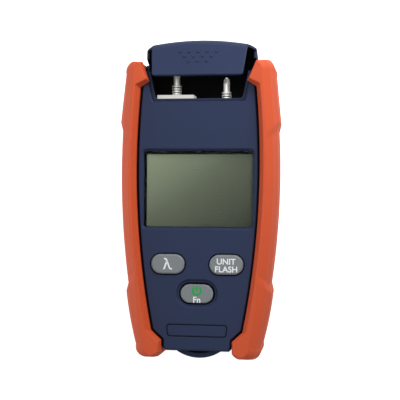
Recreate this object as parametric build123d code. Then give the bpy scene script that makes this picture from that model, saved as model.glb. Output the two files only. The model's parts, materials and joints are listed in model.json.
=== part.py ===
from build123d import *
import math
import os

os.makedirs("parts", exist_ok=True)

# Frame: the meter lies on its back. +Z out of the front face, +Y towards the ports.
# All lengths in millimetres.

# Housing, driving sizes
FRONT_Z = 30.0            # front face of the cover above the rest face
PARTING_Z = 15.0          # joint between front and rear cover
FACE_WALL = 3.0           # front face of the cover
BACK_WALL = 2.4           # flat back of the rear cover
SIDE_WALL = 1.6
WAIST_HALF = 29.6         # half width of the housing at the waist
WAIST_Y = 10.0
HEAD_HALF = 27.3          # half width at the head end
HEAD_Y = 62.0
SHOULDER_OUT = 0.6        # shoulder below the top hooks beyond the head
SHOULDER_HALF = HEAD_HALF + SHOULDER_OUT
SHOULDER_Y = 52.0
HIP_HALF = 22.0           # half width above the bottom hooks
HIP_Y = -62.3
FOOT_HALF = 17.0          # half width between the bottom hooks
FOOT_TOP_Y = -66.9
FOOT_Y = -72.2
FOOT_CORNER = 1.8
EDGE_GROOVE = 0.55        # open line between cover and grip
EDGE_GROOVE_DEPTH = 3.0
COVER_BEVEL = 0.7
COVER_LAP = 0.1           # clearance of the lip between the two covers

# Side grips
GRIP_REAR_Z = 0.8
GRIP_WIDEST_DEPTH = 4.2
GRIP_WIDEST_Z = FRONT_Z - GRIP_WIDEST_DEPTH
GRIP_RISE = 4.4           # top of the grips above the cover
GRIP_FOOT_RISE = 1.2      # where the inner slope starts
GRIP_WAIST_WALL = 8.3     # grip beyond the housing at the waist
GRIP_WAIST_Y = 10.6
UPPER_PAD_OUT = 0.5       # raised upper pad beyond the grip's waist
UPPER_PAD_Y = 37.2
LOWER_PAD_IN = 2.7        # lower pad inside the grip's waist
LOWER_PAD_Y = -44.1
PAD_STEP_Y = 3.9
PAD_STEP = 1.0            # how far a pad stands out from the waist
LOW_CORNER_WALL = 13.3    # grip beyond the housing's foot
LOW_CORNER_Y = -69.8
GRIP_BOTTOM_Y = -75.7
GRIP_TOP_Y = 66.7
TOP_CORNER_WALL = 8.7     # grip beyond the housing's head
TOP_CORNER_Y = 60.6
HOOK_REACH = 4.5          # tip of the top hook inside the shoulder
HOOK_TIP_Y = 56.6
HOOK_LOW_RISE = 1.6       # underside of the top hook above the shoulder
HOOK_BACK_OUT = 0.4       # back of the top hook beyond the head
FOOT_HOOK_WALL = 3.4      # flat end of the bottom hook beyond the foot
LOW_CORNER_FLAT = 3.6     # flat end short of the bottom corner
TOP_CORNER_FLAT = 2.8
GRIP_SEAT = 0.1           # gap between grip and housing

# Notch that the lid closes
NOTCH_SIDE = 3.5          # wall beside the notch at the head end
NOTCH_TAPER = 2.9         # how much narrower the notch is at its inner end, each side
NOTCH_TOP_HALF = HEAD_HALF - NOTCH_SIDE
NOTCH_LOW_HALF = NOTCH_TOP_HALF - NOTCH_TAPER
NOTCH_Y = 48.5
NOTCH_R = 1.6
NOTCH_LEDGE = 1.4         # width of the step that the lid lands on
NOTCH_BEVEL = 0.5

# Dust lid
LID_PIVOT_Y = 64.2
LID_PIVOT_Z = 8.0
LID_REST_DEG = 25.3       # how far the lid stands raised at rest
LID_WALL = 1.5
LID_GAP = 0.4
LID_LOW_GAP = 1.1         # lower edge of the lid inside the step
LID_LOW_HALF = NOTCH_LOW_HALF + NOTCH_LEDGE - 0.6
LID_TOP_HALF = NOTCH_TOP_HALF + NOTCH_LEDGE - 1.5
LID_SIDE_IN = 0.4         # lid's cheeks inside the width of the head
LID_ROOF_HALF = HEAD_HALF - LID_SIDE_IN
LID_ROOF_Y = 70.3
LID_ROOF_LOW = 13.0       # lower edge of the roof wall with the lid shut
LID_ROOF_BEVEL = 3.0      # height of the roof's sloped corners
LID_FOLD_R = 6.5
LID_ARCH_R = 112.0        # radius of the bowed top edge seen from the front
LID_CHEEK = 1.4
LID_BOSS_R = 3.0
LID_LOW_R = 1.5
PIN_R = 1.0
PIN_CLEARANCE = 0.08
PIN_SEAT = 0.02           # pin in the ear that holds it
PIN_REACH = 3.0           # how far a pin reaches into the lid
PIN_END_GAP = 0.4
EAR_WALL = 1.9
EAR_GAP = 0.35

BACK_TAIL = 1.3           # flat back beyond the head, under the lid

# Port bay
PANEL_WALL = 2.0
PANEL_Y = 47.4            # outer face of the port panel
BAY_FLOOR = 0.8           # floor and side walls of the black tub round the ports
BAY_SIDE = 0.9
BAY_FIT = 0.3
BAY_TAIL = 0.6            # floor of the tub beyond the head
PORT_X = 12.2
PORT_DEPTH = 11.0         # port axes below the front face
PORT_Z = FRONT_Z - PORT_DEPTH
FLANGE_WIDTH = 17.8
FLANGE_HEIGHT = 13.0
FLANGE_WALL = 3.3
FLANGE_STEP = 1.4
NUT_R = 2.4
NUT_LENGTH = 5.0
NUT_RIDGES = 5
NUT_RIDGE = 0.25
SLEEVE_R = 1.6
SLEEVE_LENGTH = 5.6
PORT_SEAT = 0.05          # clearance of the turned port pieces on each other
SECOND_NUT_LENGTH = 4.9
FERRULE_BORE_R = 1.25
FERRULE_BORE_DEPTH = 8.0
TIP_STRAIGHT = 4.2        # guide between its nut and its taper
TIP_LENGTH = 2.0
TIP_END_R = 1.3
TIP_BORE_R = 0.65
DETECTOR_R = 2.7
DETECTOR_LENGTH = 4.0
FLANGE_SCREW_R = 0.8
FLANGE_SCREW_EDGE = 2.1
FLANGE_SCREW_PITCH = FLANGE_WIDTH - 2 * FLANGE_SCREW_EDGE

# Display
WINDOW_X = 52.5
WINDOW_Y = 36.6
WINDOW_MID_Y = 5.2
WINDOW_R = 1.4
WINDOW_BEVEL = 1.0
WINDOW_DEPTH = 1.8        # face of the clear window below the cover
WINDOW_WALL = 1.1
WINDOW_LIP = 1.8
LCD_WALL = 2.4
LCD_X = 53.4
LCD_Y = 39.0
LCD_GAP = 0.6             # between the display and the clear window
LCD_FRAME_WALL = 1.0
LCD_SHELF = 3.0           # width of the ledge under the display

# Keys
KEY_X = 16.3
KEY_Y = 9.5
KEY_SIDE_X = 14.05
KEY_SIDE_Y = -30.6
KEY_POWER_Y = -44.5
KEY_GAP = 0.5
KEY_PROUD = 0.9
KEY_CROWN = 0.6
KEY_FLANGE = 1.3
KEY_FLANGE_WALL = 1.2
KEY_TRAVEL = 0.8
DISH_X = 20.2
DISH_Y = 13.6
DISH_DEPTH = 0.8
DISH_SLOPE = 0.7
KEY_STEM_R = 2.0
DOME_R = 3.0
DOME_RISE = 1.0

# Bare plate at the foot of the cover
PLATE_TOP_Y = -59.1
PLATE_LOW_Y = -65.2
PLATE_TOP_HALF = 14.9
PLATE_LOW_HALF = 14.2
PLATE_R = 1.5
PLATE_GROOVE = 0.55
PLATE_GROOVE_DEPTH = 0.5

# Board and fasteners
BOARD_WALL = 1.6
BOARD_Z = 19.0            # upper face of the board
BOARD_TOP_Y = 42.0
BOARD_LOW_Y = -57.0
BOARD_EDGE = 1.8          # clearance of the board inside the side walls
BOARD_LOW_EDGE = 2.4
BOARD_BELLY = 1.5
BOSS_R = 3.0
SCREW_R = 1.3
SCREW_HEAD_R = 2.5
SCREW_HEAD = 1.6
SCREW_CLEARANCE = 0.15
SCREW_TOP = (22.4, 40.0)
SCREW_LOW = (18.4, -56.0)
BOARD_POST_R = 2.2
BOARD_POST_X = 19.5
BOARD_POST_YS = (36.0, -19.8)
BOARD_SCREW_R = 0.9
BOARD_SCREW_HEAD = 1.1

# Battery bay
CELL_R = 5.2
CELL_LENGTH = 44.5
CELL_GAP = 0.6
CELL_NIPPLE_R = 1.9
CELL_NIPPLE = 0.9
BAY_WALL = 1.4
BAY_SLACK = 0.4
BAY_END_GAP = 2.4         # room for the contacts at each end
BAY_TOP_Y = -16.0
CONTACT_HALF = 3.6
CONTACT_WALL = 0.5
CONTACT_TAB_R = 1.6
BRIDGE_HALF = 8.8
DOOR_HALF = 13.6
DOOR_WALL = 1.8
DOOR_GAP = 0.3
DOOR_TONGUE = 1.0
DOOR_TOP_Y = -12.0
DOOR_GRIP_RIBS = 5
DOOR_RIB_PITCH = 2.0
DOOR_RIB_WIDTH = 0.9
DOOR_RIB_DEPTH = 0.5
DOOR_RIB_MARGIN = 6.0     # plain border of the door round its ribs

# Strap lug at the foot end
LUG_HALF = 11.6
LUG_RISE = 3.9            # how far the rounded lug stands out of the foot
LUG_Z = (12.5, 23.0)
LUG_ROOT = 0.5
STRAP_SLOT_HALF = 7.0
STRAP_SLOT_RISE = 1.6     # height of the crescent slot


def export(shape, name):
    export_step(shape, "parts/" + name + ".step")


def solid_between(face, z_low, z_high):
    """Extrude a face drawn in the XY plane between two heights."""
    return extrude(Pos(0, 0, z_low) * face, z_high - z_low)


def block(x_low, x_high, y_low, y_high, z_low, z_high):
    """A box given by its six faces."""
    size = (x_high - x_low, y_high - y_low, z_high - z_low)
    middle = ((x_high + x_low) / 2, (y_high + y_low) / 2, (z_high + z_low) / 2)
    return Pos(*middle) * Box(*size)


def round_bar(radius, y_low, y_high, x, z):
    """A round bar along Y."""
    plane = Plane((x, y_low, z), x_dir=(1, 0, 0), z_dir=(0, 1, 0))
    return extrude(plane * Circle(radius), y_high - y_low)


def cross_bar(radius, x_low, x_high, y, z):
    """A round bar along X."""
    plane = Plane((x_low, y, z), x_dir=(0, 1, 0), z_dir=(1, 0, 0))
    return extrude(plane * Circle(radius), x_high - x_low)


def upright(radius, x, y, z_low, z_high):
    """A round bar along Z."""
    return solid_between(Pos(x, y) * Circle(radius), z_low, z_high)


def mirrored(shape):
    """The same piece on the other side of the centre line."""
    return mirror(shape, about=Plane.YZ)


def trapezium(low_half, low_y, top_half, top_y, radius):
    """A symmetric four-sided face with its lower corners rounded."""
    points = [(-low_half, low_y), (low_half, low_y), (top_half, top_y), (-top_half, top_y)]
    face = make_face(Polyline(*points, close=True))
    corners = face.vertices().sort_by(Axis.Y)[:2]
    return fillet(corners, radius)


def housing_face(inset=0.0):
    """Plan of the housing: bowed sides, a narrow foot and a square head."""
    edges = [
        Line((FOOT_CORNER - FOOT_HALF, FOOT_Y), (FOOT_HALF - FOOT_CORNER, FOOT_Y)),
        Line((-HEAD_HALF, HEAD_Y), (HEAD_HALF, HEAD_Y)),
    ]
    for side in (-1, 1):
        foot_end = (side * (FOOT_HALF - FOOT_CORNER), FOOT_Y)
        foot_side = (side * FOOT_HALF, FOOT_Y + FOOT_CORNER)
        foot_top = (side * FOOT_HALF, FOOT_TOP_Y)
        hip = (side * HIP_HALF, HIP_Y)
        shoulder = (side * SHOULDER_HALF, SHOULDER_Y)
        edges += [
            Line(foot_end, foot_side),
            Line(foot_side, foot_top),
            Line(foot_top, hip),
            ThreePointArc(hip, (side * WAIST_HALF, WAIST_Y), shoulder),
            Line(shoulder, (side * HEAD_HALF, HEAD_Y)),
        ]
    face = make_face(Wire(edges))
    if inset > 0:
        face = offset(face, amount=-inset, kind=Kind.INTERSECTION)
    return face


def notch_face(grow=0.0):
    """Opening at the head of the cover, wider towards the end."""
    slope = (NOTCH_TOP_HALF - NOTCH_LOW_HALF) / (HEAD_Y - NOTCH_Y)
    top_y = HEAD_Y + 2
    top_half = NOTCH_TOP_HALF + slope * 2 + grow
    return trapezium(NOTCH_LOW_HALF + grow, NOTCH_Y - grow, top_half, top_y, NOTCH_R)


def plate_face(shrink=0.0):
    """Rounded plate outline near the foot of the cover."""
    low = (PLATE_LOW_HALF - shrink, PLATE_LOW_Y + shrink)
    top = (PLATE_TOP_HALF - shrink, PLATE_TOP_Y - shrink)
    points = [(-low[0], low[1]), low, top, (-top[0], top[1])]
    face = make_face(Polyline(*points, close=True))
    return fillet(face.vertices(), PLATE_R - shrink / 2)


def key_places():
    return {
        "key_wavelength": (-KEY_SIDE_X, KEY_SIDE_Y),
        "key_unit": (KEY_SIDE_X, KEY_SIDE_Y),
        "key_power": (0.0, KEY_POWER_Y),
    }


def key_face(grow=0.0):
    """Rounded key outline."""
    return RectangleRounded(KEY_X + 2 * grow, KEY_Y + 2 * grow, KEY_Y / 2 + grow - 0.01)


def screw_places():
    return [(side * x, y) for x, y in (SCREW_TOP, SCREW_LOW) for side in (-1, 1)]


def board_post_places():
    return [(side * BOARD_POST_X, y) for y in BOARD_POST_YS for side in (-1, 1)]


def window_face(grow=0.0):
    size = (WINDOW_X + 2 * grow, WINDOW_Y + 2 * grow)
    return Pos(0, WINDOW_MID_Y) * RectangleRounded(*size, WINDOW_R + max(grow, 0))


def front_cover():
    """Front shell: face with window, key holes, notch, plate groove and inner bosses."""
    inner_z = FRONT_Z - FACE_WALL
    rim = housing_face(EDGE_GROOVE)
    face = solid_between(rim, FRONT_Z - EDGE_GROOVE_DEPTH, FRONT_Z)
    face = chamfer(face.faces().sort_by(Axis.Z)[-1].edges(), COVER_BEVEL)
    skirt = solid_between(housing_face(), PARTING_Z, FRONT_Z - EDGE_GROOVE_DEPTH)
    hollow = solid_between(housing_face(SIDE_WALL), PARTING_Z, inner_z)
    cover = face + (skirt - hollow)

    # The head end is open between its two side walls
    bay_half = HEAD_HALF - SIDE_WALL
    cover -= block(-bay_half, bay_half, PANEL_Y, HEAD_Y + 1, PARTING_Z - 1, inner_z)
    cover -= solid_between(notch_face(), inner_z - 1, FRONT_Z + 1)
    cover -= solid_between(notch_face(NOTCH_LEDGE), FRONT_Z - LID_WALL - LID_GAP, FRONT_Z + 1)
    cover -= loft([Pos(0, 0, FRONT_Z - NOTCH_BEVEL) * notch_face(NOTCH_LEDGE),
                   Pos(0, 0, FRONT_Z) * notch_face(NOTCH_LEDGE + NOTCH_BEVEL)], ruled=True)

    # Bevelled window opening with a step behind it for the clear window
    cover -= solid_between(window_face(), inner_z - 1, FRONT_Z + 1)
    bevel_low = Pos(0, 0, FRONT_Z - WINDOW_BEVEL) * window_face()
    bevel_high = Pos(0, 0, FRONT_Z) * window_face(WINDOW_BEVEL)
    cover -= loft([bevel_low, bevel_high], ruled=True)
    cover -= solid_between(window_face(WINDOW_LIP + 0.1), inner_z - 1, FRONT_Z - WINDOW_DEPTH)

    # Dish round the power key, then the three key holes
    dish_low = Pos(0, KEY_POWER_Y, FRONT_Z - DISH_DEPTH) * RectangleRounded(
        DISH_X - 2 * DISH_SLOPE, DISH_Y - 2 * DISH_SLOPE, DISH_Y / 2 - DISH_SLOPE - 0.01)
    dish_high = Pos(0, KEY_POWER_Y, FRONT_Z) * RectangleRounded(DISH_X, DISH_Y, DISH_Y / 2 - 0.01)
    cover -= loft([dish_low, dish_high], ruled=True)
    for x, y in key_places().values():
        cover -= solid_between(Pos(x, y) * key_face(KEY_GAP), inner_z - 1, FRONT_Z + 1)

    # Groove round the bare plate
    groove = plate_face() - plate_face(PLATE_GROOVE)
    cover -= solid_between(groove, FRONT_Z - PLATE_GROOVE_DEPTH, FRONT_Z + 1)

    # Screw bosses reach down to the parting line
    for x, y in screw_places():
        boss = upright(BOSS_R, x, y, PARTING_Z + 0.2, inner_z + 0.2)
        cover += boss & solid_between(housing_face(0.2), PARTING_Z, FRONT_Z - 1)
        cover -= upright(SCREW_R, x, y, PARTING_Z - 1, inner_z - 1)

    # Posts that the board is screwed up against
    for x, y in board_post_places():
        cover += upright(BOARD_POST_R, x, y, BOARD_Z, inner_z + 0.2)
        cover -= upright(BOARD_SCREW_R, x, y, BOARD_Z - 1, inner_z - 1)
    return cover


def rear_cover():
    """Rear shell with a battery bay, door recess, screw posts, hinge ears and strap lug."""
    shell = solid_between(housing_face(), 0, PARTING_Z)
    back_edges = shell.faces().sort_by(Axis.Z)[0].edges()
    shell = chamfer(back_edges, 1.2)
    shell -= solid_between(housing_face(SIDE_WALL), BACK_WALL, PARTING_Z + 1)
    bay_half = HEAD_HALF - SIDE_WALL
    shell -= block(-bay_half, bay_half, PANEL_Y, HEAD_Y + 1, BACK_WALL, PARTING_Z + 1)

    # Flat back under the lid, side walls cut back for its cheeks, ears that carry its pins
    shell += block(-HEAD_HALF, HEAD_HALF, HEAD_Y - 2, HEAD_Y + BACK_TAIL, 0, BACK_WALL)
    ear_in = LID_ROOF_HALF + EAR_GAP
    ear_out = ear_in + EAR_WALL
    clear_y = LID_PIVOT_Y - LID_BOSS_R - EAR_GAP
    arm_low = LID_PIVOT_Z - LID_BOSS_R
    arm_high = LID_PIVOT_Z + LID_BOSS_R
    shell -= block(-ear_out, ear_out, clear_y, HEAD_Y + BACK_TAIL + 1, BACK_WALL, PARTING_Z + 1)
    for side in (-1, 1):
        ear_pair = sorted((side * ear_in, side * ear_out))
        root_pair = sorted((side * bay_half, side * ear_out))
        shell += block(*root_pair, PANEL_Y, clear_y, arm_low, arm_high)
        shell += block(*ear_pair, clear_y - 1, LID_PIVOT_Y, arm_low, arm_high)
        shell += cross_bar(LID_BOSS_R, *ear_pair, LID_PIVOT_Y, LID_PIVOT_Z)
        shell -= cross_bar(PIN_R + PIN_SEAT, *ear_pair, LID_PIVOT_Y, LID_PIVOT_Z)

    # Battery bay: a walled box open towards the back
    bay = battery_bay()
    shell += block(bay["x_low"] - BAY_WALL, bay["x_high"] + BAY_WALL, bay["y_low"] - BAY_WALL,
                   bay["y_high"] + BAY_WALL, DOOR_WALL, bay["z_high"] + BAY_WALL)
    shell -= block(bay["x_low"], bay["x_high"], bay["y_low"], bay["y_high"], -1, bay["z_high"])

    # Recess and side grooves of the sliding door, open at the foot end
    half = DOOR_HALF + DOOR_GAP
    shell -= block(-half, half, FOOT_Y - 1, DOOR_TOP_Y + DOOR_GAP, -1, DOOR_WALL / 2)
    tongue = half + DOOR_TONGUE
    shell -= block(-tongue, tongue, FOOT_Y - 1, DOOR_TOP_Y + DOOR_GAP, DOOR_WALL / 2 - 0.15,
                   DOOR_WALL + DOOR_GAP)

    # Screw posts
    for x, y in screw_places():
        post = upright(BOSS_R, x, y, BACK_WALL - 0.5, PARTING_Z)
        shell += post & solid_between(housing_face(0.2), 0, PARTING_Z)
        shell -= upright(SCREW_R + SCREW_CLEARANCE, x, y, -1, PARTING_Z + 1)
        shell -= upright(SCREW_HEAD_R + SCREW_CLEARANCE, x, y, -1, SCREW_HEAD + 1.2)

    # Rounded strap lug at the foot end with a crescent slot
    lug = solid_between(crescent(LUG_HALF, LUG_RISE), *LUG_Z)
    lug += block(-LUG_HALF, LUG_HALF, FOOT_Y, FOOT_Y + LUG_ROOT, LUG_Z[0], PARTING_Z)
    shell += lug - solid_between(crescent(STRAP_SLOT_HALF, STRAP_SLOT_RISE), 0, FRONT_Z)
    return shell


def crescent(half, rise):
    """Face between the foot of the housing and an arc that bulges out of it."""
    arc = ThreePointArc((-half, FOOT_Y), (0, FOOT_Y - rise), (half, FOOT_Y))
    return make_face(Wire([arc, Line((-half, FOOT_Y), (half, FOOT_Y))]))


def battery_bay():
    """Inner faces of the battery bay, from the two cells side by side."""
    half = 2 * CELL_R + CELL_GAP / 2 + BAY_SLACK
    length = CELL_LENGTH + 2 * BAY_END_GAP
    floor = DOOR_WALL + DOOR_GAP
    return {
        "x_low": -half, "x_high": half,
        "y_low": BAY_TOP_Y - length, "y_high": BAY_TOP_Y,
        "z_low": floor, "z_high": floor + 2 * CELL_R + 2 * BAY_SLACK,
    }


def grip_face(outer_in, inner_in, step, drift):
    """Plan of the right-hand grip at one level.

    outer_in moves the outer side in, inner_in moves the inner side out,
    step is how far the two pads stand out, drift moves the steps down the side.
    """
    waist = WAIST_HALF + GRIP_WAIST_WALL - outer_in
    up_step_y = UPPER_PAD_Y - drift
    low_step_y = LOWER_PAD_Y + drift
    pad_x = waist + UPPER_PAD_OUT - (PAD_STEP - step)
    low_x = waist - LOWER_PAD_IN - (PAD_STEP - step)
    corner_x = HEAD_HALF + TOP_CORNER_WALL - outer_in
    foot_x = FOOT_HALF + LOW_CORNER_WALL - outer_in
    top_y = GRIP_TOP_Y - outer_in * 0.3
    low_y = GRIP_BOTTOM_Y + outer_in * 0.35
    upper_waist = (pad_x - step, up_step_y - PAD_STEP_Y)
    lower_waist = (low_x - step, low_step_y + PAD_STEP_Y)
    hook_tip = (SHOULDER_HALF - HOOK_REACH + inner_in * 0.6, HOOK_TIP_Y + inner_in * 0.35)
    hook_low = (SHOULDER_HALF + inner_in * 0.9, SHOULDER_Y + HOOK_LOW_RISE + inner_in * 0.6)
    hook_back = (HEAD_HALF + HOOK_BACK_OUT, top_y - 0.2)
    hip = (HIP_HALF + inner_in, HIP_Y + inner_in * 0.1)
    foot_side_x = FOOT_HALF + inner_in * 0.4
    foot_in = (foot_side_x, FOOT_TOP_Y + inner_in * -0.4)
    foot_side = (foot_side_x, FOOT_Y - 0.2)
    foot_end = (FOOT_HALF + FOOT_HOOK_WALL + inner_in * 0.3, low_y)
    low_flat = (foot_x - LOW_CORNER_FLAT, low_y)
    low_corner = (foot_x, LOW_CORNER_Y)
    low_bow = ((low_x + foot_x) / 2 + 0.5, (low_step_y + LOW_CORNER_Y) / 2)
    top_flat = (corner_x - TOP_CORNER_FLAT, top_y)
    top_corner = (corner_x, TOP_CORNER_Y)
    edges = [
        ThreePointArc(top_flat, (corner_x - TOP_CORNER_FLAT / 4, top_y - 2.0), top_corner),
        Line(top_corner, (pad_x, up_step_y)),
        Line((pad_x, up_step_y), upper_waist),
        ThreePointArc(upper_waist, (waist, GRIP_WAIST_Y), lower_waist),
        Line(lower_waist, (low_x, low_step_y)),
        ThreePointArc((low_x, low_step_y), low_bow, low_corner),
        ThreePointArc(low_corner, (foot_x - 1.0, low_y + 1.6), low_flat),
        Line(low_flat, foot_end),
        ThreePointArc(foot_end, (foot_side_x + 1.2, low_y + 1.1), foot_side),
        Line(foot_side, foot_in),
        Line(foot_in, hip),
        ThreePointArc(hip, (WAIST_HALF + inner_in, WAIST_Y), hook_low),
        Line(hook_low, hook_tip),
        Line(hook_tip, hook_back),
        Line(hook_back, top_flat),
    ]
    return make_face(Wire(edges))


def side_grip():
    """Right-hand grip: a faceted bar that wraps the side and hooks over both corners."""
    top = FRONT_Z + GRIP_RISE
    levels = [
        (GRIP_REAR_Z, 2.6, 0.0, 0.2, 0.0),
        (GRIP_REAR_Z + 5.0, 0.3, 0.0, 0.9, 0.0),
        (GRIP_WIDEST_Z, 0.0, 0.0, 1.0, 0.0),
        (FRONT_Z + GRIP_FOOT_RISE, 1.9, 0.0, 0.7, 2.6),
        (top, 5.1, 2.0, 0.02, 5.2),
    ]
    sections = [Pos(0, 0, z) * grip_face(*shape) for z, *shape in levels]
    grip = loft(sections, ruled=True)
    body = solid_between(offset(housing_face(), amount=GRIP_SEAT, kind=Kind.INTERSECTION),
                         GRIP_REAR_Z - 2, FRONT_Z)
    grip -= body
    # Clear of the hinge arms and, past the head, of the lid's cheeks
    clear_half = LID_ROOF_HALF + EAR_GAP + EAR_WALL + GRIP_SEAT
    arm_room = LID_BOSS_R + GRIP_SEAT
    grip -= block(0, clear_half, PANEL_Y - GRIP_SEAT, HEAD_Y, LID_PIVOT_Z - arm_room,
                  LID_PIVOT_Z + arm_room)
    grip -= block(0, clear_half, LID_PIVOT_Y - LID_BOSS_R - EAR_GAP, GRIP_TOP_Y + 1,
                  GRIP_REAR_Z - 1, FRONT_Z - EDGE_GROOVE_DEPTH)
    return grip


def lid_closed():
    """Dust lid in its closed place: face, folded roof and two cheeks."""
    out = LID_ROOF_Y
    face_z = FRONT_Z
    r = LID_FOLD_R
    roof_low = LID_ROOF_LOW
    start_y = NOTCH_Y - LID_FOLD_R
    outer = [
        Line((start_y, face_z), (out - r, face_z)),
        RadiusArc((out - r, face_z), (out, face_z - r), r),
        Line((out, face_z - r), (out, roof_low)),
        Line((out, roof_low), (out - LID_WALL, roof_low)),
        Line((out - LID_WALL, roof_low), (out - LID_WALL, face_z - r)),
        RadiusArc((out - LID_WALL, face_z - r), (out - r, face_z - LID_WALL), -(r - LID_WALL)),
        Line((out - r, face_z - LID_WALL), (start_y, face_z - LID_WALL)),
        Line((start_y, face_z - LID_WALL), (start_y, face_z)),
    ]
    section = Plane.YZ * make_face(Wire(outer))
    axis = Axis((0, LID_ROOF_Y - LID_ARCH_R, 0), (0, 0, 1))
    sweep_deg = 2 * math.degrees(math.asin((LID_ROOF_HALF + 4) / LID_ARCH_R))
    band = revolve(section, axis, sweep_deg)
    band = band.rotate(axis, -sweep_deg / 2)

    low_y = NOTCH_Y - NOTCH_LEDGE + LID_LOW_GAP
    front_plan = trapezium(LID_LOW_HALF, low_y, LID_TOP_HALF, LID_ROOF_Y + 1, LID_LOW_R)
    front_part = band & solid_between(front_plan, LID_PIVOT_Z, FRONT_Z + 1)
    roof_top = FRONT_Z - r * 0.62
    bevel_low = roof_top - LID_ROOF_BEVEL
    roof_face = make_face(Polyline(
        (-LID_ROOF_HALF, roof_low), (LID_ROOF_HALF, roof_low), (LID_ROOF_HALF, bevel_low),
        (LID_TOP_HALF, roof_top), (-LID_TOP_HALF, roof_top), (-LID_ROOF_HALF, bevel_low),
        close=True))
    roof_plane = Plane((0, HEAD_Y + EAR_GAP, 0), x_dir=(1, 0, 0), z_dir=(0, -1, 0))
    roof_prism = extrude(roof_plane * roof_face, -(LID_ROOF_Y - HEAD_Y))
    roof_part = band & roof_prism
    lid = front_part + roof_part

    # Full-width hinge barrel, and the web that closes the hollow from it up to the roof
    lid += cross_bar(LID_BOSS_R, LID_CHEEK - LID_ROOF_HALF, LID_ROOF_HALF - LID_CHEEK,
                     LID_PIVOT_Y, LID_PIVOT_Z)
    web_root = LID_BOSS_R * 0.6
    web_face = make_face(Polyline(
        (LID_PIVOT_Y + LID_BOSS_R, LID_PIVOT_Z), (out, roof_low), (out, roof_low + LID_WALL),
        (out - LID_WALL, roof_low + LID_WALL), (LID_PIVOT_Y + web_root, LID_PIVOT_Z + web_root),
        close=True))
    web_plane = Plane((-LID_ROOF_HALF, 0, 0), x_dir=(0, 1, 0), z_dir=(1, 0, 0))
    arch = Pos(0, out - LID_ARCH_R, 0) * Circle(LID_ARCH_R)
    web = extrude(web_plane * web_face, 2 * LID_ROOF_HALF)
    lid += web & solid_between(arch, 0, FRONT_Z)

    # Cheeks carry the lid to its two pins
    roof_end_y = LID_ROOF_Y - (LID_ROOF_HALF ** 2) / (2 * LID_ARCH_R)
    for side in (-1, 1):
        x_pair = sorted((side * (LID_ROOF_HALF - LID_CHEEK), side * LID_ROOF_HALF))
        cheek = make_face(Polyline(
            (HEAD_Y + EAR_GAP, LID_PIVOT_Z), (HEAD_Y + EAR_GAP, bevel_low - LID_WALL),
            (roof_end_y - LID_WALL, bevel_low - 0.1), (roof_end_y - 0.1, bevel_low - 0.1),
            (roof_end_y - 0.1, roof_low), (LID_PIVOT_Y + LID_BOSS_R, LID_PIVOT_Z), close=True))
        plane = Plane((x_pair[0], 0, 0), x_dir=(0, 1, 0), z_dir=(1, 0, 0))
        cheek_bar = extrude(plane * cheek, LID_CHEEK)
        lid += cheek_bar
        lid += cross_bar(LID_BOSS_R, *x_pair, LID_PIVOT_Y, LID_PIVOT_Z)
        bore_pair = sorted((side * (LID_ROOF_HALF - PIN_REACH - PIN_END_GAP), side * LID_ROOF_HALF))
        lid -= cross_bar(PIN_R + PIN_CLEARANCE, *bore_pair, LID_PIVOT_Y, LID_PIVOT_Z)
    return lid


def raised(shape):
    """Turn a piece about the lid's pins into the raised rest place."""
    axis = Axis((0, LID_PIVOT_Y, LID_PIVOT_Z), (1, 0, 0))
    return shape.rotate(axis, -LID_REST_DEG)


def lid_pin(side):
    low = LID_ROOF_HALF - PIN_REACH
    high = LID_ROOF_HALF + EAR_GAP + EAR_WALL
    return cross_bar(PIN_R, *sorted((side * low, side * high)), LID_PIVOT_Y, LID_PIVOT_Z)


def port_panel():
    """Black tub behind the lid: a wall that carries the ports, a floor and two sides."""
    half = HEAD_HALF - SIDE_WALL - BAY_FIT
    end_y = LID_PIVOT_Y - LID_BOSS_R - EAR_GAP - BAY_FIT
    back_y = PANEL_Y - PANEL_WALL
    floor_z = BACK_WALL + BAY_FLOOR
    panel = block(-half, half, back_y, end_y, BACK_WALL, FRONT_Z - FACE_WALL)
    panel -= block(BAY_SIDE - half, half - BAY_SIDE, PANEL_Y, end_y + 1, floor_z, FRONT_Z)
    panel += block(-half, half, end_y - 1, HEAD_Y + BAY_TAIL, BACK_WALL, floor_z)
    panel -= round_bar(DETECTOR_R + 0.1, PANEL_Y - PANEL_WALL - 1, PANEL_Y + 1, -PORT_X, PORT_Z)
    panel -= round_bar(SLEEVE_R + PORT_SEAT, PANEL_Y - PANEL_WALL - 1, PANEL_Y + 1, PORT_X, PORT_Z)
    for x in flange_screw_xs():
        panel -= round_bar(FLANGE_SCREW_R, PANEL_Y - PANEL_WALL - 1, PANEL_Y + 1, x, PORT_Z)
    return panel


def flange_screw_xs():
    return [-PORT_X + side * FLANGE_SCREW_PITCH / 2 for side in (-1, 1)]


def adapter_flange():
    """White flange block under the detector's adapter, with one stepped end."""
    y_low = PANEL_Y
    y_high = PANEL_Y + FLANGE_WALL
    half = FLANGE_WIDTH / 2
    flange = block(-PORT_X - half, -PORT_X + half, y_low, y_high,
                   PORT_Z - FLANGE_HEIGHT / 2, PORT_Z + FLANGE_HEIGHT / 2)
    end = flange.edges().filter_by(Axis.Z).sort_by(Axis.Y)[-2:].sort_by(Axis.X)[-1]
    flange = chamfer(end, 0.5, FLANGE_STEP)
    flange -= round_bar(FERRULE_BORE_R + 0.4, y_low - 1, y_high + 1, -PORT_X, PORT_Z)
    for x in flange_screw_xs():
        flange -= round_bar(FLANGE_SCREW_R, y_low - 1, y_high + 1, x, PORT_Z)
        flange -= round_bar(FLANGE_SCREW_R * 2, y_high - 1.0, y_high + 1, x, PORT_Z)
    return flange


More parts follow.
